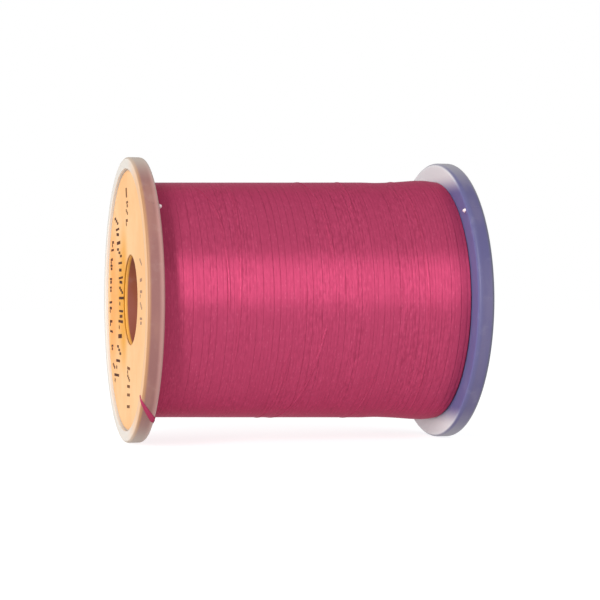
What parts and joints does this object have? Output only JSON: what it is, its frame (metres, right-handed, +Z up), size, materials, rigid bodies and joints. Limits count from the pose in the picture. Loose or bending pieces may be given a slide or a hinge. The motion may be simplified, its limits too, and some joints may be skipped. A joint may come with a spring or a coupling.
{
  "type": "thread spool",
  "caption": "Small flanged spool of flat fly-tying thread, lying on its rims, with a through bore, a paper label recessed in each end and the thread end laid over the rim.",
  "frame": {"origin": "on the spool's axis, half way between its two ends", "axes": "+X along the spool's axis towards the rear end (the front end, with the warm-coloured label and the thread end, faces -X), +Z up with the spool lying on its rims, -Y the side that is seen from the front"},
  "size_m": [0.0266, 0.0222, 0.0222],
  "materials": {
    "flange_plastic": "translucent milky polypropylene, satin gloss",
    "barrel_plastic": "translucent milky tube",
    "front_label_paper": null,
    "rear_label_paper": null,
    "thread": "flat waxed nylon filament, raspberry pink, silky sheen"
  },
  "bodies": {
    "root": {"barrel": "barrel_plastic", "front_flange": "flange_plastic", "rear_flange": "flange_plastic", "front_label": "front_label_paper", "rear_label": "rear_label_paper", "thread_start": "thread", "thread_bulk": "thread", "thread_outer_turns": "thread", "thread_end": "thread"}
  },
  "joints": []
}
